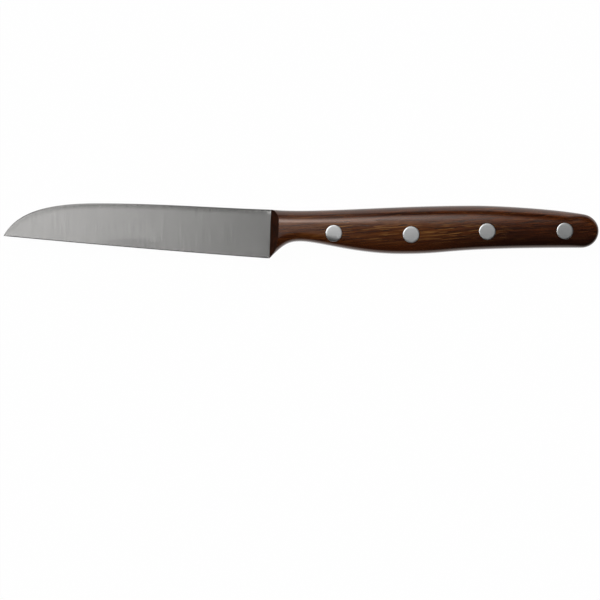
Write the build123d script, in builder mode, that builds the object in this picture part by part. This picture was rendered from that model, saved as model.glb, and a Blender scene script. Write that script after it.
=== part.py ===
from build123d import *
import os
from math import asin, cos, degrees, radians, sin, tan

# Paring knife: a thin blade whose steel runs on as a full-length tang between two wooden scales,
# held by four two-piece rivets that are ground flush with the wood.
# The knife lies on its right side. X runs along it, with the tip at -X and the butt at +X; the
# cutting edge faces -Y and the spine +Y; Z is up, through the thickness. The origin is the middle
# of the knife's outline, on the surface it lies on. Lengths are millimetres, angles degrees.

# Lengths along the knife; the front is where the scales begin
blade_length = 95.0
handle_length = 116.5
tip_x = -(blade_length + handle_length) / 2
front_x = tip_x + blade_length
butt_x = front_x + handle_length

# Blade outline: heights above and depths below the centre line, and the directions it takes
tip_depth = 1.8
tip_angle = 61.8
nose_length = 33.7
crest_height = 9.8
root_height = 7.55
root_angle = -1.8
heel_depth = 9.8
edge_belly = 0.25
front_tilt = 2.1

# Handle outline: the back rises from the root to a hump and falls to the butt; below, the guard
# drops from the neck to the heel, and the belly swells behind it. Turning points stand at shares
# of the handle's length
lead_angle = -5.6
hump_share = 0.6244
hump_height = 8.93
guard_angle = 43.6
neck_share = 0.0892
neck_depth = 3.74
belly_share = 0.4023
belly_depth = 8.22
butt_depth = 6.05
butt_radius = 5.97
shoulder_angle = 13.0

# Each stretch of the outline between two turning points is a curve with a handle at either end;
# each handle's length is a share of the straight run between the stretch's ends
nose_shares = (0.33, 0.363)
spine_shares = (0.354, 0.331)
rise_shares = (0.204, 0.43)
fall_shares = (0.249, 0.2)
guard_shares = (0.504, 0.37)
bulge_shares = (0.2, 0.467)
taper_shares = (0.295, 0.793)

# Steel
tang_thickness = 1.5
edge_thickness = 0.25
edge_land = 0.04
edge_bevel_width = 0.35
plunge_angle = 45.0

# Handle thickness: largest at the swell, a share of the handle's length behind its front; from
# there each broad face falls away along a wide arc, and across the handle it is crowned
swell_thickness = 13.4
swell_share = 0.4635
butt_fall = 1.7
crown_radius = 60.0
crown_height = 0.6
rim_radius = 4.2
facet_angle = 58.0

# Rivets: a stud from the left side enters a socket from the right; they stand at shares of the
# handle's length and at depths below the centre line, by hand and so not quite in step
rivet_shares = (0.1936, 0.4279, 0.6588, 0.8947)
rivet_depths = (1.03, 1.51, 0.43, 0.23)
rivet_head_diameter = 5.9
rivet_head_depth = 2.0
socket_diameter = 3.6
stud_diameter = 2.2
rivet_lead_in = 0.3
rivet_end_gap = 0.3
rivet_clearance = 0.05
tang_hole_clearance = 0.1

# How far cutting shapes run past what they cut
overrun = 2.0

tang_half = tang_thickness / 2
middle_z = swell_thickness / 2
middle_plane = Plane.XY.offset(middle_z)


def heading(angle):
    """A direction in the plane of the outline, turned up from the butt's by an angle."""
    return Vector(cos(radians(angle)), sin(radians(angle)))


def on_front(height):
    """The point of the leaning front line at a height above the centre line."""
    return Vector(front_x + height * tan(radians(front_tilt)), height)


def flow(start, start_angle, end, end_angle, shares):
    """A smooth curve that leaves one point and reaches another in given directions."""
    run = (end - start).length
    leave = start + heading(start_angle) * run * shares[0]
    arrive = end - heading(end_angle) * run * shares[1]
    return Bezier(start, leave, arrive, end)


def along_handle(share, height):
    """The point at a share of the handle's length and a height above the centre line."""
    return Vector(front_x + share * handle_length, height)


# Corners and ends of the outline
tip = Vector(tip_x, -tip_depth)
crest = Vector(tip_x + nose_length, crest_height)
root = on_front(root_height)
heel = on_front(-heel_depth)
butt_centre = Vector(butt_x - butt_radius, butt_radius - butt_depth)
butt_bottom = Vector(butt_centre.X, -butt_depth)
shoulder = butt_centre + heading(90 - shoulder_angle) * butt_radius
hump = along_handle(hump_share, hump_height)
neck = along_handle(neck_share, -neck_depth)
belly = along_handle(belly_share, -belly_depth)


def blade_edges():
    """The blade's outline: cutting edge, nose and spine."""
    SagittaArc(heel, tip, edge_belly)
    flow(tip, tip_angle, crest, 0, nose_shares)
    flow(crest, 0, root, root_angle, spine_shares)


def handle_edges():
    """The handle's outline, from the root over the back and round to the heel."""
    flow(root, lead_angle, hump, 0, rise_shares)
    flow(hump, 0, shoulder, -shoulder_angle, fall_shares)
    CenterArc(butt_centre, butt_radius, -90, 180 - shoulder_angle)
    flow(heel, guard_angle, neck, 0, guard_shares)
    flow(neck, 0, belly, 0, bulge_shares)
    flow(belly, 0, butt_bottom, 0, taper_shares)


def leaning_plane(angle):
    """A plane through the front line of the tang's left face, rising toward the butt."""
    inward = heading(-front_tilt) * sin(radians(angle)) - Vector(0, 0, 1) * cos(radians(angle))
    origin = (front_x, 0, middle_z + tang_half)
    return Plane(origin, x_dir=heading(90 - front_tilt), z_dir=inward)


# The form that the assembled handle is ground to, above the lying surface: a barrel gives the
# crown of the left broad face, and a rolling edge leads round into the narrow sides
swell_x = front_x + swell_share * handle_length
swell_radius = ((butt_x - swell_x) ** 2 + butt_fall**2) / (2 * butt_fall)
swell_centre = Vector(swell_x, 0, swell_thickness - swell_radius)
swell_reach = handle_length / swell_radius
crown_reach = degrees(asin(2 * heel_depth / crown_radius))
first_section = Plane(swell_centre, x_dir=(0, 1, 0), z_dir=(cos(swell_reach), 0, sin(swell_reach)))
with BuildPart() as barrel:
    with BuildSketch(first_section):
        with BuildLine():
            crown_centre = (crown_height, swell_radius - crown_radius)
            top = CenterArc(crown_centre, crown_radius, 90 - crown_reach, 2 * crown_reach)
            Polyline(top @ 0, ((top @ 0).X, -swell_centre.Z), ((top @ 1).X, -swell_centre.Z), top @ 1)
        make_face()
    revolve(axis=Axis(swell_centre, (0, 1, 0)), revolution_arc=degrees(2 * swell_reach))

with BuildPart() as ground_form:
    with BuildSketch():
        with BuildLine():
            handle_edges()
            lead_out = root - heading(lead_angle) * overrun
            lead_turn = lead_out + heading(lead_angle - 90) * 2 * rim_radius
            guard_out = heel - heading(guard_angle) * overrun
            guard_turn = guard_out + heading(guard_angle + 90) * 2 * rim_radius
            Polyline(heel, guard_out, guard_turn, lead_turn, lead_out, root)
        make_face()
    extrude(amount=swell_thickness + overrun)
    add(barrel.part, mode=Mode.INTERSECT)
    crown = ground_form.faces().sort_by(Axis.Z)[-1]
    fillet(crown.edges().sort_by(SortBy.LENGTH)[-1], rim_radius)

# Each rivet's place, and the level its head seats at below the ground surface
rivets = []
for along, depth in zip(rivet_shares, rivet_depths):
    place = along_handle(along, -depth)
    surface = ground_form.part.find_intersection_points(Axis(place, (0, 0, 1)))[-1][0]
    rivets.append(Vector(place.X, place.Y, surface.Z - rivet_head_depth))

# Blade and tang: one steel, its flanks ground flat up to a short plunge at the scales
edge_half = edge_thickness / 2
flank_tip = Vector(tip.X, tip.Y, middle_z + edge_half)
flank_heel = Vector(heel.X, heel.Y, middle_z + edge_half)
flank_root = Vector(root.X, root.Y, middle_z + tang_half)
along_edge = flank_heel - flank_tip
flank = Plane(flank_tip, x_dir=along_edge, z_dir=along_edge.cross(flank_root - flank_heel))
with BuildPart() as grind:
    with BuildSketch(flank):
        Rectangle(3 * blade_length, 3 * blade_length)
    extrude(amount=tang_thickness)
    split(bisect_by=leaning_plane(plunge_angle), keep=Keep.BOTTOM)
    mirror(about=middle_plane)

with BuildPart() as blade:
    with BuildSketch(middle_plane):
        with BuildLine():
            blade_edges()
            handle_edges()
        make_face()
    extrude(amount=tang_half, both=True)
    add(grind.part, mode=Mode.SUBTRACT)
    edge_strip = blade.faces().filter_by(GeomType.CYLINDER).sort_by(Axis.X)[0]
    edge_lines = edge_strip.edges().sort_by(SortBy.LENGTH)[-2:]
    edge_step = (edge_thickness - edge_land) / 2
    chamfer(edge_lines, edge_step, edge_bevel_width, reference=edge_strip)
    with Locations([(place.X, place.Y, middle_z) for place in rivets]):
        Hole(radius=socket_diameter / 2 + tang_hole_clearance)
blade.part.label = "blade"

# Scales: ground outside, with stepped rivet holes, flat on the tang and with a flat slanting front
with BuildPart() as scale_left:
    add(ground_form.part)
    for place in rivets:
        with Locations((place.X, place.Y, swell_thickness)):
            CounterBoreHole(
                radius=socket_diameter / 2 + rivet_clearance,
                counter_bore_radius=rivet_head_diameter / 2 + rivet_clearance,
                counter_bore_depth=swell_thickness - place.Z,
            )
    split(bisect_by=middle_plane.offset(tang_half), keep=Keep.TOP)
    split(bisect_by=leaning_plane(facet_angle), keep=Keep.TOP)
scale_left.part.label = "scale_left"

with BuildPart() as scale_right:
    mirror(scale_left.part, about=middle_plane)
scale_right.part.label = "scale_right"

pieces = [blade, scale_left, scale_right]

# Rivets: both heads are ground to the handle's surface
for number, place in enumerate(rivets, start=1):
    seat_span = 2 * (place.Z - middle_z)
    with BuildPart() as head:
        with BuildSketch(Plane.XY.offset(place.Z)):
            with Locations(place):
                Circle(rivet_head_diameter / 2)
        extrude(amount=swell_thickness)
        add(ground_form.part, mode=Mode.INTERSECT)

    with BuildPart() as stud:
        add(head.part)
        with BuildSketch(Plane.XY.offset(place.Z)):
            with Locations(place):
                Circle(stud_diameter / 2)
        extrude(amount=rivet_end_gap - seat_span)
        chamfer(stud.edges().sort_by(Axis.Z)[0], rivet_lead_in)
    stud.part.label = f"rivet_stud_{number}"

    with BuildPart() as socket:
        mirror(head.part, about=middle_plane)
        with BuildSketch(Plane.XY.offset(place.Z - seat_span)):
            with Locations(place):
                Circle(socket_diameter / 2)
        extrude(amount=seat_span - rivet_end_gap)
        with BuildSketch(Plane.XY.offset(place.Z - seat_span)):
            with Locations(place):
                Circle(stud_diameter / 2 + rivet_clearance)
        extrude(amount=seat_span, mode=Mode.SUBTRACT)
    socket.part.label = f"rivet_socket_{number}"
    pieces += [stud, socket]

os.makedirs("parts", exist_ok=True)
for piece in pieces:
    export_step(piece.part, f"parts/{piece.part.label}.step")
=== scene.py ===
# %% [markdown]
# # A paring knife with riveted walnut scales
#
# The knife lies on its right side on a white table. It has eleven pieces: one strip of steel that is
# both blade and tang, two walnut scales, and four rivets of two halves each. The packed model gives
# every piece its place and size. This lesson makes the surfaces that a camera sees: the ground and
# polished steel, the oiled wood with its rolled edge, and the rivets that were ground flush with it.

# %% Load the packed model
import bmesh
import bpy
import numpy as np
from math import cos, hypot, pi, radians, sin, sqrt, tan
from mathutils import Matrix


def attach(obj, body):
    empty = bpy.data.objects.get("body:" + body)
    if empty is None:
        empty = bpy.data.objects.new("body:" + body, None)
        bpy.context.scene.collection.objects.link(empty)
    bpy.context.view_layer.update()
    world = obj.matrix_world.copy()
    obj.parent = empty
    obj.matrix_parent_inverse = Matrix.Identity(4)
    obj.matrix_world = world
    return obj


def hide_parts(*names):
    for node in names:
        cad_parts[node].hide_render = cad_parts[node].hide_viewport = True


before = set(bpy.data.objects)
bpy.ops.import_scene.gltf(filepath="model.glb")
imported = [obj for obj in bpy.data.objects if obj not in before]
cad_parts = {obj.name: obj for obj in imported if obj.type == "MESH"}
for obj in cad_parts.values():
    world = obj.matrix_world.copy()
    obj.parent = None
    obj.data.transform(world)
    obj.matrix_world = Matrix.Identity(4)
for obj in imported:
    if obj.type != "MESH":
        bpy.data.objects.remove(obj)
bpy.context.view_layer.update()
print("nodes:", ", ".join(sorted(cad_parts)))

# %% [markdown]
# ## The sizes
#
# Blender works in metres, and the bench works in millimetres, so every length below is written in
# millimetres times `mm`. The tip is at -X, the butt at +X, the cutting edge faces -Y, and the knife
# rests on the floor at Z = 0. The sizes are the ones that the solid model was made from, because the
# pieces made here must land on the same surfaces.

# %% Lengths of the knife
mm = 0.001
blade_length = 95.0 * mm
handle_length = 116.5 * mm
tip_x = -(blade_length + handle_length) / 2
front_x = tip_x + blade_length
butt_x = front_x + handle_length
swell_thickness = 13.4 * mm
middle_z = swell_thickness / 2
tang_half = 0.75 * mm
print("tip, front of the scales and butt in mm:", [round(x / mm, 2) for x in (tip_x, front_x, butt_x)])

# %% [markdown]
# ## The camera
#
# The photograph looks straight down, from a long way off for so small a thing: the two ends of the
# knife show no side faces. A long lens does the same. The knife lies above the middle of the picture,
# so the camera stands a little toward the cutting edge and needs no tilt and no shift.

# %% Set up the camera
sensor_width = 36.0
picture_width = 213.6 * mm
picture_centre = (-0.2 * mm, -24.6 * mm)
camera_height = 0.85
camera_data = bpy.data.cameras.new("overhead_camera")
camera_data.sensor_width = sensor_width
camera_data.lens = sensor_width * camera_height / picture_width
camera = bpy.data.objects.new("overhead_camera", camera_data)
camera.location = (*picture_centre, middle_z + camera_height)
bpy.context.scene.collection.objects.link(camera)
bpy.context.scene.camera = camera
print("lens in mm:", round(camera_data.lens, 1))

# %% [markdown]
# ## Shader maths
#
# A material is a net of nodes, and long nets are hard to read. A node's output can instead be wrapped
# in a small class whose operators add Math nodes, so that a pattern reads as arithmetic. Another
# class makes the material and adds any other node: it takes the node's type, its settings, and the
# values or links of its sockets.

# %% Wrap a socket so that arithmetic adds Math nodes
class Reading:
    """A number that varies over a surface: one output of a node."""

    def __init__(self, net, socket):
        self.net = net
        self.socket = socket

    def math(self, operation, *values):
        """Adds one Math node and feeds it links or plain numbers."""
        inputs = dict(zip(("Value", "Value_001"), values))
        return self.net.node("ShaderNodeMath", {"operation": operation}, inputs)

    def __add__(self, other):
        return self.math("ADD", self, other)

    def __radd__(self, other):
        return self.math("ADD", other, self)

    def __sub__(self, other):
        return self.math("SUBTRACT", self, other)

    def __rsub__(self, other):
        return self.math("SUBTRACT", other, self)

    def __mul__(self, other):
        return self.math("MULTIPLY", self, other)

    def __rmul__(self, other):
        return self.math("MULTIPLY", other, self)

    def __truediv__(self, other):
        return self.math("DIVIDE", self, other)

    def __rtruediv__(self, other):
        return self.math("DIVIDE", other, self)

    def __pow__(self, other):
        return self.math("POWER", self, other)

    def most(self, other):
        """The larger of the two."""
        return self.math("MAXIMUM", self, other)

    def least(self, other):
        """The smaller of the two."""
        return self.math("MINIMUM", self, other)

    def size(self):
        """The number without its sign."""
        return self.math("ABSOLUTE", self)


print("operators ready: + - * / **")


# %% Add any node to a tree
class Net:
    """A tree of nodes, of a material or of the world."""

    def __init__(self, tree):
        self.tree = tree

    def node(self, kind, settings=None, inputs=None, output=None):
        """Adds a node, with its settings first and then its sockets' values or links."""
        node = self.tree.nodes.new(kind)
        for name, value in (settings or {}).items():
            setattr(node, name, value)
        for name, value in (inputs or {}).items():
            self.feed(node, name, value)
        sockets = [s for s in node.outputs if s.enabled and output in (None, s.identifier)]
        return Reading(self, sockets[0])

    def feed(self, node, name, value):
        """Gives one input of a node a link or a constant."""
        socket = next(s for s in node.inputs if s.identifier == name)
        if isinstance(value, Reading):
            self.tree.links.new(value.socket, socket)
        else:
            socket.default_value = value

    def mix(self, factor, first, second):
        """A colour between two, by a factor from 0 to 1."""
        inputs = {"Factor_Float": factor, "A_Color": first, "B_Color": second}
        return self.node("ShaderNodeMix", {"data_type": "RGBA"}, inputs, "Result_Color")

    def noise(self, vector, scale=1.0, detail=2.0, roughness=0.5, distortion=0.0):
        """Cloudy noise around 0.5."""
        inputs = {"Vector": vector, "Scale": scale, "Detail": detail}
        inputs |= {"Roughness": roughness, "Distortion": distortion}
        return self.node("ShaderNodeTexNoise", inputs=inputs)

    def between(self, value, low, high):
        """0 at low, 1 at high and a smooth step between; with low above high, the step falls."""
        inputs = {"Value": value, "From Min": low, "From Max": high}
        return self.node("ShaderNodeMapRange", {"interpolation_type": "SMOOTHSTEP"}, inputs)

    def split(self, vector):
        """The three numbers of a vector."""
        inputs = {"Vector": vector}
        return [self.node("ShaderNodeSeparateXYZ", inputs=inputs, output=axis) for axis in "XYZ"]


print("helpers of a net:", ", ".join(name for name in vars(Net) if not name.startswith("_")))


# %% Make a material
class Finish(Net):
    """A new material around one Principled shader."""

    def __init__(self, name):
        self.material = bpy.data.materials.new(name)
        self.material.use_nodes = True
        super().__init__(self.material.node_tree)
        self.shader = self.tree.nodes["Principled BSDF"]

    def surface(self, **values):
        """Feeds the Principled shader; an underscore stands for a space."""
        for name, value in values.items():
            self.feed(self.shader, name.replace("_", " "), value)

    def place(self, stretch=(1, 1, 1), turn=0.0):
        """Object coordinates in millimetres, turned in plan and stretched for a pattern."""
        spot = self.node("ShaderNodeTexCoord", output="Object")
        inputs = {"Vector": spot, "Rotation": (0, 0, radians(turn))}
        turned = self.node("ShaderNodeMapping", inputs=inputs)
        scale = [s / mm for s in stretch]
        return self.node("ShaderNodeMapping", inputs={"Vector": turned, "Scale": scale})


def tone(red, green, blue):
    """A colour as a paint program shows it, 0 to 255, turned into Blender's linear one."""
    shares = [c / 255 for c in (red, green, blue)]
    return tuple(c / 12.92 if c < 0.04045 else ((c + 0.055) / 1.055) ** 2.4 for c in shares) + (1.0,)


print("mid grey in linear numbers:", [round(c, 3) for c in tone(128, 128, 128)])

# %% [markdown]
# ## The steel
#
# The blade is stainless steel, ground and then polished across its width on a soft wheel. The wheel
# leaves very fine lines that run from spine to edge. They could be drawn on a picture, but noise that
# is stretched fifty times along Y gives the same lines at any distance. They change the colour and
# the roughness a little. A bump would be wrong here: on polished metal even a weak one breaks the
# reflection into bright dots. A slow cloud drifts the roughness, and near the edge lies one soft
# patch of painted shade, where the steel's colour is made darker so that its reflection looks darker.

# %% Finish: polished steel
steel = Finish("polished_steel")
wheel_lines = steel.noise(steel.place(stretch=(1.0, 0.02, 1.0)), scale=1.8, detail=3.0, roughness=0.6)
wheel_drift = steel.noise(steel.place(stretch=(0.05, 0.16, 0.1)))
polish = steel.mix(steel.between(wheel_lines, 0.25, 0.75), tone(200, 199, 197), tone(209, 208, 206))
# Painted shade: a soft patch near the edge where the steel's colour is darker, a darker reflection
# painted in.
painted_shade_x, painted_shade_y = -61.0, -5.0
painted_shade_length, painted_shade_width = 14.0, 3.0
steel_x, steel_y, _ = steel.split(steel.place())
from_painted_shade = ((steel_x - painted_shade_x) / painted_shade_length) ** 2 + ((steel_y - painted_shade_y) / painted_shade_width) ** 2
steel.surface(
    Base_Color=steel.mix(0.3 * steel.between(from_painted_shade, 1.0, 0.0), polish, tone(150, 149, 148)),
    Metallic=1.0,
    Roughness=0.17 + 0.03 * wheel_lines + 0.03 * wheel_drift,
)
print(steel.material.name, len(steel.tree.nodes), "nodes")

# %% [markdown]
# ## The walnut
#
# Walnut is a brown wood with many marks. Broad, soft bands lie where the growth rings meet the
# surface, with finer streaks and fibres in them. Pores are short dark dashes along the grain. Between
# them lie pale flecks, and in the middle of the handle long pale hairs. Every one of them is noise
# that is drawn out along X and turned by a few degrees, because the grain doesn't run quite along the
# handle. Where the noise passes a level, a mask turns from 0 to 1.

# %% Marks of the walnut
walnut = Finish("oiled_walnut")


def grain_noise(lengthwise, crosswise, turn, **look):
    """Noise drawn out along the grain, by how fast it changes along and across."""
    return walnut.noise(walnut.place(stretch=(lengthwise, crosswise, crosswise), turn=turn), **look)


bands = grain_noise(0.018, 0.3, 0.0, detail=3.0, roughness=0.55, distortion=0.8)
streaks = grain_noise(0.07, 1.3, -5.0, detail=3.0, roughness=0.6, distortion=0.25)
fibres = grain_noise(0.16, 2.6, -3.0, detail=3.0, roughness=0.6)
pores = grain_noise(0.16, 1.7, -4.0, detail=1.0)
hairs = grain_noise(0.12, 2.1, -4.0, detail=1.0)
grain_mask = walnut.between(0.35 * bands + 0.65 * streaks, 0.32, 0.64)
fibre_mask = walnut.between(fibres, 0.4, 0.7)
pore_mask = walnut.between(pores, 0.6, 0.68)
fleck_mask = walnut.between(pores, 0.4, 0.3)
hair_mask = walnut.between(hairs, 0.56, 0.63)
print("marks drawn with", len(walnut.tree.nodes), "nodes")

# %% [markdown]
# The colour also changes from place to place. The wood is darker toward the butt. Toward the belly it
# is darker still, which is painted shade: the side that turns away from the light is darkened in the
# colour. Along the back it is a little darker in front, a band of painted shade under the rolled rim,
# and lighter behind, painted light on the side toward the light. Masks made from the place itself say
# where: they read millimetres from the middle of the knife, and the scales run from -11 to 106.

# %% Zones of the walnut
along, upward, _ = walnut.split(walnut.place())
toward_butt = walnut.between(along, 35.0, 75.0)
# Painted shade: this mask darkens the belly side of the wood.
belly_shade_mask = walnut.between(0.0 - upward, 0.0, 7.0 - 2.5 * toward_butt)
# Painted light: this mask makes the back, on the side toward the light, lighter toward the butt.
back_light_mask = walnut.between(upward, 0.5, 4.5)
# Painted shade: a darker band along the back, under the rolled rim, toward the front.
back_shade_band = walnut.between(upward, 2.5, 5.0)
hair_zone = walnut.between(along, 2.0, 14.0) * (1 - walnut.between(along, 58.0, 80.0))
hair_zone = hair_zone * (1 - walnut.between((upward + 1.0).size(), 1.5, 5.0))
pore_strength = 0.25 + 0.45 * walnut.between(along, 2.0, 16.0)
# The front browns hold the painted shade band along the back.
front_light = walnut.mix(back_shade_band, tone(98, 54, 18), tone(82, 39, 8))
front_dark = walnut.mix(back_shade_band, tone(52, 19, 4), tone(36, 9, 2))
# The butt browns hold the painted light on the back.
butt_light = walnut.mix(back_light_mask, tone(72, 33, 12), tone(94, 46, 13))
butt_dark = walnut.mix(back_light_mask, tone(28, 8, 4), tone(42, 14, 4))
light_brown = walnut.mix(toward_butt, front_light, butt_light)
dark_brown = walnut.mix(toward_butt, front_dark, butt_dark)
# The colour of the painted shade on the belly side, darkest at the butt.
belly_shade_colour = walnut.mix(toward_butt, tone(52, 19, 4), tone(18, 4, 2))
print("zones drawn, now", len(walnut.tree.nodes), "nodes")

# %% [markdown]
# The marks are laid over one another, each with its own strength. Oil and handling leave a warm
# gloss: the surface is fairly smooth, and its reflection is tinted like the wood. Fibres and pores
# also go to a weak bump, where the pores sink in.

# %% Finish: oiled walnut
wood_colour = walnut.mix(grain_mask, light_brown, dark_brown)
wood_colour = walnut.mix(0.3 * fibre_mask, wood_colour, dark_brown)
wood_colour = walnut.mix(pore_mask * pore_strength, wood_colour, tone(24, 8, 2))
wood_colour = walnut.mix(0.2 * fleck_mask, wood_colour, tone(130, 84, 40))
wood_colour = walnut.mix(0.6 * hair_mask * hair_zone, wood_colour, tone(140, 98, 52))
# Painted shade: the belly side is darkened in the colour.
wood_colour = walnut.mix(0.85 * belly_shade_mask, wood_colour, belly_shade_colour)
relief = {"Strength": 0.06, "Distance": 0.04 * mm, "Height": 0.4 * fibres - 0.8 * pore_mask}
walnut.surface(
    Base_Color=wood_colour,
    Roughness=0.12 + 0.06 * fibres,
    Specular_IOR_Level=0.85,
    Specular_Tint=(1.0, 0.76, 0.66, 1.0),
    Normal=walnut.node("ShaderNodeBump", inputs=relief),
)
print(walnut.material.name, len(walnut.tree.nodes), "nodes")

# %% [markdown]
# Where the saw went across the grain, at the slanting front of each scale, the open ends of the pores
# drink the oil and stay dark and dull. That face gets a finish of its own: the pores are dots there,
# not dashes, and it hardly mirrors anything.

# %% Finish: end grain
end_grain = Finish("end_grain_walnut")
pore_ends = end_grain.noise(end_grain.place(stretch=(2.6, 2.6, 2.6)))
rings = end_grain.noise(end_grain.place(stretch=(0.3, 0.5, 0.9)), distortion=0.6)
dark_end = end_grain.mix(end_grain.between(rings, 0.35, 0.65), tone(44, 19, 8), tone(28, 11, 5))
relief = {"Strength": 0.2, "Distance": 0.03 * mm, "Height": pore_ends}
end_grain.surface(
    Base_Color=end_grain.mix(0.6 * end_grain.between(pore_ends, 0.55, 0.62), dark_end, tone(14, 5, 2)),
    Roughness=0.7 + 0.1 * pore_ends,
    Specular_IOR_Level=0.05,
    Specular_Tint=(1.0, 0.6, 0.4, 1.0),
    Normal=end_grain.node("ShaderNodeBump", inputs=relief),
)
print(end_grain.material.name, len(end_grain.tree.nodes), "nodes")

# %% [markdown]
# ## The rivet metal
#
# The rivets are aluminium, softer and whiter than steel. They were ground on the same belt as the
# wood, so fine scratches run along the handle. Like the polish lines of the steel, they change only
# the colour and the roughness.

# %% Finish: ground aluminium
aluminium = Finish("ground_aluminium")
belt_lines = aluminium.noise(aluminium.place(stretch=(0.15, 6.0, 6.0)), detail=3.0, roughness=0.6)
cloud = aluminium.noise(aluminium.place(stretch=(0.5, 0.5, 0.5)))
aluminium.surface(
    Base_Color=aluminium.mix(belt_lines, tone(176, 177, 177), tone(192, 193, 193)),
    Metallic=1.0,
    Roughness=0.25 + 0.05 * cloud + 0.04 * belt_lines,
)
print(aluminium.material.name, len(aluminium.tree.nodes), "nodes")

# %% [markdown]
# ## The outline
#
# Seen from above, every piece has a smooth outline. A designer draws it as a few long curves that
# run into one another: the blade's nose and spine, the rise of the back to its hump and its fall to
# the butt, the guard, the belly's bulge and its taper. Each is a Bezier curve with one handle at
# either end: a pair of shares gives the lengths of the two, and the last number is how many straight
# steps stand for the curve. Blender's curve objects could draw them, but then the same line couldn't
# be measured again for the height of the ground surface, so one short function works the points out.

# %% Directions and the leaning front line
front_tilt = 2.1
root_height = 7.55 * mm
root_angle = -1.8
heel_depth = 9.8 * mm
tip_depth = 1.8 * mm
tip_angle = 61.8
nose_length = 33.7 * mm
crest_height = 9.8 * mm


def heading(angle):
    """A direction in plan, turned up from the butt's by an angle in degrees."""
    return np.array([cos(radians(angle)), sin(radians(angle))])


def on_front(height):
    """The point of the leaning front line at a height above the centre line."""
    return np.array([front_x + height * tan(radians(front_tilt)), height])


root = on_front(root_height)
heel = on_front(-heel_depth)
tip = np.array([tip_x, -tip_depth])
crest = np.array([tip_x + nose_length, crest_height])
print("root and heel in mm:", (root / mm).round(2), (heel / mm).round(2))

# %% A curve with one handle at each end
def flow(start, start_angle, end, end_angle, shares, steps):
    """Points of a Bezier curve; each handle's length is a share of the straight run."""
    run = hypot(*(end - start))
    leave = start + heading(start_angle) * run * shares[0]
    arrive = end - heading(end_angle) * run * shares[1]
    t = np.linspace(0, 1, steps + 1)[:, None]
    near_ends = (1 - t) ** 3 * start + t**3 * end
    return near_ends + 3 * (1 - t) ** 2 * t * leave + 3 * (1 - t) * t**2 * arrive


nose = flow(tip, tip_angle, crest, 0, (0.33, 0.363), 40)
spine = flow(crest, 0, root, root_angle, (0.354, 0.331), 30)
print("spine drops from", round(crest[1] / mm, 2), "to", round(root[1] / mm, 2), "mm")


# %% The handle's back, butt and belly
def along_handle(share, height):
    """A place at a share of the handle's length and a height above the centre line."""
    return np.array([front_x + share * handle_length, height])


butt_radius = 5.97 * mm
butt_depth = 6.05 * mm
butt_centre = np.array([butt_x - butt_radius, butt_radius - butt_depth])
shoulder_angle = 13.0
shoulder = butt_centre + heading(90 - shoulder_angle) * butt_radius
butt_bottom = butt_centre - np.array([0, butt_radius])
lead_angle = -5.6
guard_angle = 43.6
hump = along_handle(0.6244, 8.93 * mm)
neck = along_handle(0.0892, -3.74 * mm)
low_belly = along_handle(0.4023, -8.22 * mm)
rise = flow(root, lead_angle, hump, 0, (0.204, 0.43), 96)
fall = flow(hump, 0, shoulder, -shoulder_angle, (0.249, 0.2), 52)
guard = flow(heel, guard_angle, neck, 0, (0.504, 0.37), 20)
bulge = flow(neck, 0, low_belly, 0, (0.2, 0.467), 52)
taper = flow(low_belly, 0, butt_bottom, 0, (0.295, 0.793), 84)
turns = np.linspace(90 - shoulder_angle, -90, 34)[1:-1]
butt = np.array([butt_centre + heading(turn) * butt_radius for turn in turns])
back = np.vstack([rise, fall[1:]])
belly = np.vstack([guard, bulge[1:], taper[1:]])
handle_line = np.vstack([back, butt, belly[::-1]])
print("handle outline:", len(handle_line), "points")

# %% [markdown]
# ## The ground surface
#
# Wood and rivets were ground together after assembly, so one surface runs over all of them. It is a
# barrel: thickest at the swell, falling along a wide arc toward both ends, and crowned across. Near
# the outline it rolls down like a quarter of a round rod. Along the belly and round the butt the roll
# is squarer, so that it turns later and faster: its curve isn't a circle, whose power is 2, but has a
# higher power. A function gives the height at any place, and the scales and the rivet heads are both
# shaped by it, which keeps them flush.

# %% Height of the ground surface
rim_radius = 4.2 * mm
crown_radius = 60.0 * mm
crown_height = 0.6 * mm
swell_x = front_x + 0.4635 * handle_length
butt_fall = 1.7 * mm
swell_radius = ((butt_x - swell_x) ** 2 + butt_fall**2) / (2 * butt_fall)


def crown(x, y):
    """Height of the barrel above the floor."""
    across_arc = swell_radius - crown_radius + sqrt(crown_radius**2 - (y - crown_height) ** 2)
    return swell_thickness - swell_radius + sqrt(across_arc**2 - (x - swell_x) ** 2)


def ease(value, low, high):
    """0 at low, 1 at high, and a smooth step from one to the other."""
    t = min(max((value - low) / (high - low), 0), 1)
    return t * t * (3 - 2 * t)


def squareness(x, y):
    """Power of the rolled edge's curve: 2 at the back, more toward the belly and at the butt."""
    return 2 + 1.5 * ease(y, 4.5 * mm, 0.5 * mm) + 2.0 * ease(x, 95 * mm, 102 * mm)


def roll(lean, power):
    """Height on the rolled edge, from 0 at its foot, where lean is 1, to 1 at its top."""
    return (1 - min(lean, 1) ** power) ** (1 / power)


def rim_drop(x, y):
    """How far the rolled edge lies below the barrel at a place inside the outline."""
    inside = np.hypot(handle_line[:, 0] - x, handle_line[:, 1] - y).min()
    return rim_radius * (1 - roll(max(1 - inside / rim_radius, 0), squareness(x, y)))


levels = [round(crown(x, 0) / mm, 2) for x in (front_x, swell_x, butt_x)]
print("height at the front, swell and butt in mm:", levels)

# %% [markdown]
# ## Small helpers for pieces
#
# Every piece ends the same way: its mesh gets smooth shading with sharp edges kept, its finish, its
# body and its material slot, and the packed piece that it stands for is hidden. Four smaller jobs
# come back too: a face from points in plan, one mesh added to another, the mirror image for the other
# side of the knife, and a count of open edges. A mirrored shape is inside out, so its faces are
# turned back.

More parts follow.
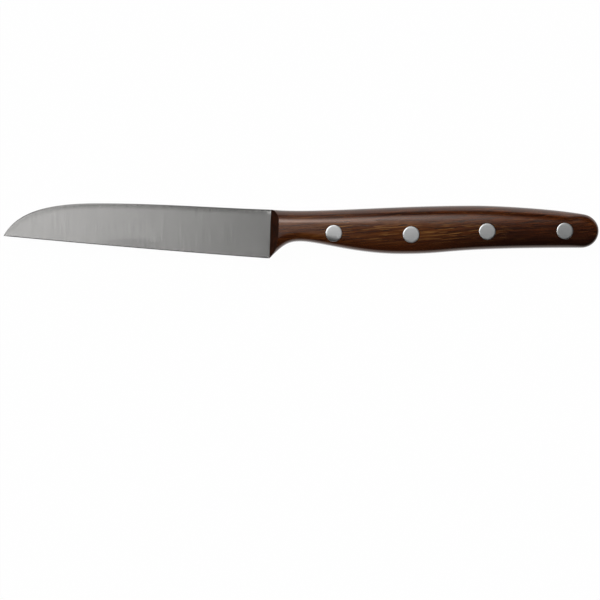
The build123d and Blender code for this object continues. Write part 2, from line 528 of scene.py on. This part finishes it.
# %% Finish a piece, and the smaller jobs
def finish_piece(name, mesh, finish, stands_for, sharp=35.0):
    """Turns a bmesh into a shown piece that stands for one packed node."""
    data = bpy.data.meshes.new(name)
    mesh.to_mesh(data)
    mesh.free()
    data.shade_smooth()
    data.set_sharp_from_angle(angle=radians(sharp))
    data.materials.append(finish.material)
    piece = bpy.data.objects.new(name, data)
    bpy.context.scene.collection.objects.link(piece)
    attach(piece, "root")
    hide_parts(stands_for)
    print(name, len(data.polygons), "faces")
    return piece


def plan(points, height):
    """A bmesh with one face that looks up, whose corners are points in plan at a height."""
    mesh = bmesh.new()
    face = mesh.faces.new([mesh.verts.new((x, y, height)) for x, y in points])
    face.normal_update()
    if face.normal.z < 0:
        bmesh.ops.reverse_faces(mesh, faces=[face])
    mesh.normal_update()
    return mesh


def pour(source, target):
    """Adds one bmesh to another and frees the first."""
    data = bpy.data.meshes.new("poured")
    source.to_mesh(data)
    source.free()
    target.from_mesh(data)
    bpy.data.meshes.remove(data)


def mirror_below(mesh, corners, faces):
    """Mirrors a shape in the middle of the tang."""
    middle = Matrix.Translation((0, 0, -middle_z))
    bmesh.ops.scale(mesh, vec=(1, 1, -1), space=middle, verts=corners)
    bmesh.ops.reverse_faces(mesh, faces=faces)


def open_edges(mesh):
    """How many edges don't lie between two faces; a closed mesh has none."""
    return len([edge for edge in mesh.edges if not edge.is_manifold])


print("helpers ready")

# %% [markdown]
# ## The scales
#
# A scale starts as a flat board, sawn to the outline and glued to the tang. In Blender the board is
# one face that is extruded. Its upper rim gets the rolled edge from a bevel, which makes even rows
# of faces along the outline. The front isn't rolled: it is a flat slanting cut, so the board first
# runs on ahead of the front, square to its rims, and a plane cuts it off at the end.

# %% Saw the board and roll its rim
overrun = 2.0 * mm
lead_out = root - heading(lead_angle) * overrun
lead_turn = lead_out + heading(lead_angle - 90) * 2 * rim_radius
guard_out = heel - heading(guard_angle) * overrun
guard_turn = guard_out + heading(guard_angle + 90) * 2 * rim_radius
board_line = np.vstack([lead_out, handle_line, guard_out, guard_turn, lead_turn])
tang_z = middle_z + tang_half

board = plan(board_line, tang_z)
raised = bmesh.ops.extrude_face_region(board, geom=board.faces[:])["geom"]
raised_corners = [v for v in raised if isinstance(v, bmesh.types.BMVert)]
bmesh.ops.translate(board, verts=raised_corners, vec=(0, 0, swell_thickness - tang_z))
bmesh.ops.recalc_face_normals(board, faces=board.faces)
print("board:", len(board.verts), "corners")
top_rim = [
    e
    for e in board.edges
    if all(v.co.z > middle_z + rim_radius and v.co.x > lead_turn[0] + 0.1 * mm for v in e.verts)
]
bmesh.ops.bevel(
    board,
    geom=top_rim,
    offset=rim_radius,
    offset_type="OFFSET",
    segments=14,
    profile=0.5,
    affect="EDGES",
    clamp_overlap=False,
    material=-1,
)
print("rolled rim:", len(top_rim), "edges,", len(board.faces), "faces")

# %% [markdown]
# The broad face is still one flat face, and a single face can't bend. Planes cut it into cells a
# couple of millimetres wide. Then every corner above the tang sinks by as much as the barrel falls
# there: that crowns the broad face and carries the rolled rim down with it. The bevel made a round
# rim, so a corner's height on it is first read as a lean, and the squarer roll gives the new height.
# All of it ends a hair below the packed surface, so that nothing stands proud of it.

# %% Divide the broad face and crown it
def broad_cells():
    """The flat cells on top, with their edges and corners."""
    level = [f for f in board.faces if f.normal.z > 0.9999]
    faces = [f for f in level if f.calc_center_median().z > middle_z + rim_radius]
    edges = {e for f in faces for e in f.edges}
    corners = {v for f in faces for v in f.verts}
    return faces + list(edges) + list(corners)


def slice_board(place, across):
    """Cuts the broad face with a plane through a place, square to a direction."""
    bmesh.ops.bisect_plane(board, geom=broad_cells(), dist=0.01 * mm, plane_co=place, plane_no=across)


cell_length = 2.0 * mm
cell_width = 1.25 * mm
for x in np.arange(front_x - 10 * mm, butt_x, cell_length):
    slice_board((x, 0, 0), (1, 0, 0))
for y in np.arange(-7.5 * mm, 9.0 * mm, cell_width):
    slice_board((0, y, 0), (0, 1, 0))
shrunk = 0.03 * mm
rim_foot = swell_thickness - rim_radius
for corner in board.verts:
    x, y, z = corner.co
    if z > tang_z + 0.1 * mm:
        lean = sqrt(max(1 - ((z - rim_foot) / rim_radius) ** 2, 0))
        rolled = rim_foot + rim_radius * roll(lean, squareness(x, y))
        corner.co.z = max(rolled - swell_thickness + crown(x, y) - shrunk, tang_z + shrunk)
print("crowned board:", len(board.faces), "faces")

# %% [markdown]
# The front of each scale is sawn off at a slant, so that no square wood stands in the way of the
# thumb. One plane through the front line does it: it keeps what lies behind, and the hole that it
# leaves is closed with one flat face.

# %% Cut the slanting front
facet_angle = 58.0
behind = heading(-front_tilt) * sin(radians(facet_angle))
front_cut = bmesh.ops.bisect_plane(
    board,
    geom=board.faces[:] + board.edges[:] + board.verts[:],
    dist=0.001 * mm,
    plane_co=(front_x, 0, tang_z),
    plane_no=(*behind, -cos(radians(facet_angle))),
    clear_inner=True,
)["geom_cut"]
bmesh.ops.holes_fill(board, edges=[e for e in front_cut if isinstance(e, bmesh.types.BMEdge)])
bmesh.ops.remove_doubles(board, verts=board.verts, dist=0.002 * mm)
bmesh.ops.recalc_face_normals(board, faces=board.faces)
print("open edges:", open_edges(board))

# %% [markdown]
# ## Turned shapes and drilled holes
#
# Rivets and drills are turned shapes: half an outline goes once round the axis. Each rivet hole has a
# step, on which the rivet's head sits. A Boolean modifier cuts all four at once. It works on objects,
# so board and drills become two objects for a moment, and the result comes back as a bmesh.

# %% Turn a closed shape
turn_steps = 64


def turn_shape(profile):
    """A closed shape from half its outline, given as radii and heights from axis to axis."""
    turned = bmesh.new()
    corners = [turned.verts.new((radius, 0, height)) for radius, height in profile]
    for first, second in zip(corners, corners[1:]):
        turned.edges.new((first, second))
    bmesh.ops.spin(
        turned,
        geom=turned.verts[:] + turned.edges[:],
        cent=(0, 0, 0),
        axis=(0, 0, 1),
        angle=2 * pi,
        steps=turn_steps,
        use_merge=True,
    )
    bmesh.ops.remove_doubles(turned, verts=turned.verts, dist=0.001 * mm)
    bmesh.ops.recalc_face_normals(turned, faces=turned.faces)
    return turned


print("a turned shape has", turn_steps, "faces round")

# %% Drill the rivet holes
rivet_shares = (0.1936, 0.4279, 0.6588, 0.8947)
rivet_depths = (1.03, 1.51, 0.43, 0.23)
head_radius = 2.95 * mm
head_depth = 2.0 * mm
shank_radius = 1.8 * mm
room_round = 0.05 * mm
drill_foot = tang_z - 1 * mm
drill_top = 14 * mm
rivet_places = []
for share, depth in zip(rivet_shares, rivet_depths):
    rivet_places.append((front_x + share * handle_length, -depth * mm))


def drill(board):
    """Cuts the stepped rivet holes with a Boolean modifier and gives the board back."""
    narrow_radius = shank_radius + room_round
    wide_radius = head_radius + room_round
    cutters = bmesh.new()
    for x, y in rivet_places:
        seat = crown(x, y) - head_depth
        steps = [(0.0, drill_foot), (narrow_radius, drill_foot), (narrow_radius, seat)]
        steps += [(wide_radius, seat), (wide_radius, drill_top), (0.0, drill_top)]
        cutter = turn_shape(steps)
        bmesh.ops.translate(cutter, verts=cutter.verts, vec=(x, y, 0))
        pour(cutter, cutters)
    workpieces = []
    for name, mesh in (("wood", board), ("drills", cutters)):
        data = bpy.data.meshes.new(name)
        mesh.to_mesh(data)
        mesh.free()
        workpieces.append(bpy.data.objects.new(name, data))
        bpy.context.scene.collection.objects.link(workpieces[-1])
    wood, drills = workpieces
    cut = wood.modifiers.new("drilled", "BOOLEAN")
    cut.operation = "DIFFERENCE"
    cut.solver = "EXACT"
    cut.object = drills
    drilled = bmesh.new()
    drilled.from_object(wood, bpy.context.evaluated_depsgraph_get())
    for piece in workpieces:
        data = piece.data
        bpy.data.objects.remove(piece)
        bpy.data.meshes.remove(data)
    return drilled


board = drill(board)
print("drilled board:", len(board.faces), "faces,", open_edges(board), "open edges")

# %% [markdown]
# The slanting front shows end grain, so its faces take the second finish. The right scale is the left
# one seen in a mirror that lies in the middle of the tang.

# %% Make both scales
front_reach = 8 * mm
for face in board.faces:
    on_slant = face.normal.x < -0.7 and face.calc_center_median().x < front_x + front_reach
    face.material_index = int(on_slant)
right_board = board.copy()
mirror_below(right_board, right_board.verts, right_board.faces)
left_scale = finish_piece("left_walnut_scale", board, walnut, "scale_left")
right_scale = finish_piece("right_walnut_scale", right_board, walnut, "scale_right")
for scale in (left_scale, right_scale):
    scale.data.materials.append(end_grain.material)
    print(scale.name, "shows", ", ".join(material.name for material in scale.data.materials))

# %% [markdown]
# ## The blade and its tang
#
# Blade and tang are punched from one strip of steel. The flank is then ground thin toward the edge
# and buffed, and buffing wears it most near the spine, where the wheel runs off: the surface turns
# there, and the spine's corner is eased, which shows as a dark line. So the flank needs rows of cells
# that follow the spine. A grid has them: its columns run from the spine to the edge, and each corner
# is moved to its row's distance. The last column lies on the front line, where the tang begins, and
# the one before it close to it, so that the eased corner ends there in one narrow cell.

# %% Where the flank's rows and columns run
edge_along = (heel - tip) / hypot(*(heel - tip))
edge_across = np.array([-edge_along[1], edge_along[0]])
edge_sag = 0.25 * mm
last_cell = 0.12 * mm
top_line = np.vstack([nose, spine[1:-1], root - heading(root_angle) * last_cell, root])
shares = ((top_line[:, 0] - tip_x) / (root[0] - tip_x))[:, None]
edge_line = tip + shares * (heel - tip) - 4 * edge_sag * shares * (1 - shares) * edge_across
top_runs = np.gradient(top_line, axis=0)
inward = np.stack([top_runs[:, 1], -top_runs[:, 0]], axis=1) / np.hypot(*top_runs.T)[:, None]
from_spine = (0.0, 0.27 * mm, 0.54 * mm, 0.85 * mm, 1.2 * mm, 1.7 * mm, 2.3 * mm)
from_edge = (0.8 * mm, 0.25 * mm, 0.0)
row_count = len(from_spine) + len(from_edge)
eased_row = 2
print("columns:", len(top_line), "rows:", row_count)

# %% [markdown]
# The blade is thin at the tip, and there is little steel to take off. The eased corner keeps its
# slope there and gets narrower instead. A flatter one would mirror the bright sheet of the room and
# vanish against the white table. The rows crowd together as well, because nose and edge meet. The
# heights below are half thicknesses, from the middle of the steel: at the edge as it is ground, at
# the edge once it is sharpened, what the spine's corner loses, and how much the flank swells there.

# %% Height of the flank above the middle of the steel
edge_half = 0.125 * mm
edge_land = 0.075 * mm
spine_drop = 0.364 * mm
buffed_rise = 0.07 * mm
flank_slope = (tang_half - edge_half) / np.dot(root - tip, edge_across)


def ground_height(place):
    """Half the thickness of the steel, as flat grinding leaves it."""
    return edge_half + flank_slope * float(np.dot(place - tip, edge_across))


narrow = []
for top in top_line:
    steel_left = (ground_height(top) - edge_land) / spine_drop
    from_tip = ease(top[0], tip_x + 7 * mm, tip_x + 26 * mm)
    narrow.append(min(steel_left, 1.0) * (0.5 + 0.5 * from_tip))
print("the eased corner at the tip has", round(narrow[0], 2), "of its full width")

# %% Place and height of one corner of the grid
crowding = 0.08


def spine_ease(row):
    """How far a row near the spine is lowered to ease the corner."""
    return spine_drop * (1 - from_spine[row] / from_spine[eased_row]) if row < eased_row else 0.0


def flank_place(column, row):
    """The place in plan; near the tip the rows crowd together."""
    top, low = top_line[column], edge_line[column]
    length = max(hypot(*(low - top)), 0.001 * mm)
    down = (low - top) / length
    if row < len(from_spine):
        lean = max(float(np.dot(down, inward[column])), 0.2)
        width = from_spine[row] * (narrow[column] if row <= eased_row else 1)
        return top + down * min(width / lean, crowding * row * length)
    return low - down * min(from_edge[row - len(from_spine)], crowding * (row_count - 1 - row) * length)


def flank_height(place, column, row):
    """Half the steel's thickness there, eased at the spine and thin at the edge."""
    if column == 0:
        return edge_half
    if row == row_count - 1:
        return edge_land
    half = ground_height(place)
    if row < len(from_spine):
        half += buffed_rise * narrow[column] * (1 - from_spine[row] / from_spine[-1]) ** 2
    return max(half - spine_ease(row) * narrow[column], edge_land)


mid_spine = 45
sample_rows = (0, eased_row, len(from_spine) - 1)
heights = [flank_height(top_line[mid_spine], mid_spine, row) for row in sample_rows]
print("half thickness at mid spine in mm:", [round(height / mm, 3) for height in heights])

# %% Lay the grid over the flank
blank = bmesh.new()
bmesh.ops.create_grid(blank, x_segments=len(top_line) - 1, y_segments=row_count - 1, size=0.5)
rows = {}
for corner in blank.verts:
    column = round((corner.co.x + 0.5) * (len(top_line) - 1))
    row = round((0.5 - corner.co.y) * (row_count - 1))
    rows[corner] = row
    place = flank_place(column, row)
    corner.co = (*place, middle_z + flank_height(place, column, row))
bmesh.ops.remove_doubles(blank, verts=blank.verts, dist=0.002 * mm)
print("flank cells:", len(blank.faces))

# %% [markdown]
# The plunge is where the ground flank comes up to the full thickness of the tang. It is a narrow
# wedge: nothing at the root, and half a millimetre long at the heel. A plane cuts its crease into
# the grid, and what lies behind the crease rises at 45 degrees to the front line. The tang is one
# flat face that is joined on there. The strip is whole when the same surface lies below as above, and
# a rim of faces joins the two.

# %% Cut the plunge and join the tang
plunge_angle = 45.0


def ahead_of_front(x, y):
    """Distance in front of the leaning front line."""
    return float(np.dot(np.array([front_x - x, -y]), heading(-front_tilt)))


plunge_foot = heel - heading(-front_tilt) * (tang_half - edge_half) / tan(radians(plunge_angle))
crease = plunge_foot - root
everything = blank.faces[:] + blank.edges[:] + blank.verts[:]
bmesh.ops.bisect_plane(
    blank, geom=everything, dist=0.001 * mm, plane_co=(*root, 0), plane_no=(-crease[1], crease[0], 0)
)
for corner in blank.verts:
    ahead = ahead_of_front(corner.co.x, corner.co.y)
    plunge = tang_half - ahead * tan(radians(plunge_angle))
    if ahead > 0.01 * mm:
        plunge = max(corner.co.z - middle_z, plunge - spine_ease(rows.get(corner, eased_row)))
    corner.co.z = middle_z + min(tang_half, plunge)
front_column = [flank_place(-1, row) for row in range(1, row_count - 1)]
tang = plan(np.vstack([back, butt, belly[::-1], front_column[::-1]]), tang_z)
pour(tang, blank)
bmesh.ops.remove_doubles(blank, verts=blank.verts, dist=0.002 * mm)
print("blank:", len(blank.faces), "cells with the tang")

# %% Add the other side and close the rim
other = bmesh.ops.duplicate(blank, geom=blank.faces[:] + blank.edges[:] + blank.verts[:])["geom"]
other_corners = [v for v in other if isinstance(v, bmesh.types.BMVert)]
other_faces = [f for f in other if isinstance(f, bmesh.types.BMFace)]
mirror_below(blank, other_corners, other_faces)
rims = [e for e in blank.edges if e.is_boundary]
bmesh.ops.bridge_loops(blank, edges=rims)
bmesh.ops.recalc_face_normals(blank, faces=blank.faces)
print("open edges:", open_edges(blank))
finish_piece("blade_and_tang", blank, steel, "blade", sharp=8.0)

# %% [markdown]
# ## The rivets
#
# A rivet is turned: the stud is solid and the socket is hollow, and each has a head 5.9 mm wide. Only
# the heads show. The belt rolled their rims over, and metal stands up to it better than wood, so the
# faces are flatter than the wood round them: they take only a part of its fall. Each corner of a face
# is moved to its height when the rivet sits in its place.

# %% Seat a turned piece
face_reach = 0.5 * mm
flatter = 0.3
sunk = 0.05 * mm


def seat_rivet(turned, x, y):
    """Puts a turned piece at its place and grinds its face to the surface."""
    level = crown(x, y)
    for corner in turned.verts:
        near_face = corner.co.z > -face_reach
        corner.co.x += x
        corner.co.y += y
        fall = flatter * (level - crown(corner.co.x, corner.co.y)) + sunk
        fall += rim_drop(corner.co.x, corner.co.y)
        corner.co.z += level - (fall if near_face else 0)


print("faces lie", round(sunk / mm, 2), "mm below the packed ones")

# %% Turn the studs and the sockets
face_steps = ((0.0, 0.0), (0.7, 0.0), (1.4, 0.0), (2.1, 0.0), (2.5, 0.0), (2.68, 0.006))
face_steps += ((2.8, 0.015), (2.88, 0.04), (2.93, 0.08), (2.95, 0.14))
face = [(radius * mm, -drop * mm) for radius, drop in face_steps] + [(head_radius, -head_depth)]
stud_radius = 1.1 * mm
bore_radius = 1.15 * mm
end_gap = 0.3 * mm
for number, (x, y) in enumerate(rivet_places, start=1):
    foot = -head_depth - 2 * (crown(x, y) - head_depth - middle_z) + end_gap
    stud = turn_shape(face + [(stud_radius, -head_depth), (stud_radius, foot), (0.0, foot)])
    sleeve = [(shank_radius, -head_depth), (shank_radius, foot), (bore_radius, foot)]
    socket = turn_shape(face + sleeve + [(bore_radius, -head_depth), (0.0, -head_depth)])
    seat_rivet(stud, x, y)
    seat_rivet(socket, x, y)
    mirror_below(socket, socket.verts, socket.faces)
    finish_piece(f"rivet_{number}_stud", stud, aluminium, f"rivet_stud_{number}")
    finish_piece(f"rivet_{number}_socket", socket, aluminium, f"rivet_socket_{number}")

# %% [markdown]
# ## The table
#
# The photograph has a pure white ground. A floor that only scattered light would be grey wherever
# less light falls, and more light would bleach the knife. So the floor glows at exactly 1 for what
# the camera sees, directly, in a reflection or through something clear, and a small share of real
# white stays under it, which takes the knife's shadow.

# %% Lay the floor
floor_finish = Finish("white_table")
seen = floor_finish.node("ShaderNodeLightPath", output="Is Camera Ray")
mirrored = floor_finish.node("ShaderNodeLightPath", output="Is Glossy Ray")
through_glass = floor_finish.node("ShaderNodeLightPath", output="Is Transmission Ray")
looked_at = (seen + mirrored + through_glass).least(1.0)
floor_finish.surface(Base_Color=tone(235, 235, 235), Roughness=1.0)
glow_share = 0.985
table_half = 3.0
table_drop = 0.5 * mm
glow = floor_finish.node("ShaderNodeEmission", inputs={"Color": (1, 1, 1, 1), "Strength": 1.0})
blend = floor_finish.tree.nodes.new("ShaderNodeMixShader")
table_output = floor_finish.tree.nodes["Material Output"]
links = floor_finish.tree.links
links.new((looked_at * glow_share).socket, blend.inputs[0])
links.new(floor_finish.shader.outputs[0], blend.inputs[1])
links.new(glow.socket, blend.inputs[2])
links.new(blend.outputs[0], table_output.inputs["Surface"])
table = bmesh.new()
bmesh.ops.create_grid(table, x_segments=1, y_segments=1, size=table_half)
table_data = bpy.data.meshes.new("white_table")
table.to_mesh(table_data)
table.free()
table_data.materials.append(floor_finish.material)
table_top = bpy.data.objects.new("white_table", table_data)
table_top.location.z = -table_drop
bpy.context.scene.collection.objects.link(table_top)
print("floor laid")

# %% [markdown]
# ## The light
#
# There is no lamp: the room itself gives the light. Polished steel and oiled wood show what they
# mirror, so the room is a map of brightness by direction. Two numbers name a direction overhead: how
# far it leans toward the butt and how far toward the spine, both against its height. A bright sheet
# hangs on the spine's side. Its near edge is sharp, which gives the long highlight on the handle its
# sharp lower edge, and away from there it fades as the highlight does. A wide, dimmer glow at the tip
# end is what the flank of the blade mirrors; it fades toward the butt, and so the blade is darker
# toward the scales. The walls are white, brighter on the spine's side, and draw the thin light lines
# on the rolled rims.

# %% Directions in the room
room_world = bpy.data.worlds.new("pale_room")
bpy.context.scene.world = room_world
room_world.use_nodes = True
room = Net(room_world.node_tree)
right, far, above = room.split(room.node("ShaderNodeTexCoord", output="Generated"))
overhead = above.most(0.2)
lean_x = right / overhead
lean_y = far / overhead
print("directions read with", len(room.tree.nodes), "nodes")

# %% Light the room
sheet = room.between(lean_y, 0.116, 0.128) * (1 - room.between(lean_y, 0.05, 1.1))
sheet = sheet * ((0.2 - lean_x) / 0.6).most(0.0).least(1.0) * room.between(lean_x, -1.6, -1.2)
tip_glow = (1 - room.between(lean_x, -0.09, -0.044)) * room.between(lean_x, -0.9, -0.6)
tip_glow = tip_glow * room.between(lean_y, -0.2, -0.05) * (1 - room.between(lean_y, 1.0, 3.5))
walls = (1 - room.between(above, 0.0, 0.45)) * (0.2 + 0.8 * room.between(far, 0.1, 0.7))
ceiling_strength = 0.03
glow_strength = 0.74
sheet_strength = 9.0
ceiling = ceiling_strength + glow_strength * tip_glow + sheet_strength * sheet
brightness = walls + (1 - walls) * ceiling
room_shader = room.tree.nodes["Background"]
room.tree.links.new(brightness.socket, room_shader.inputs["Strength"])
room_shader.inputs["Color"].default_value = (1, 1, 1, 1)
print("room is white at the walls and dim above, with one bright sheet")

# %% [markdown]
# ## The last lines
#
# The Standard view shows every colour as it was mixed.

# %% Picture settings
bpy.context.scene.view_settings.view_transform = "Standard"
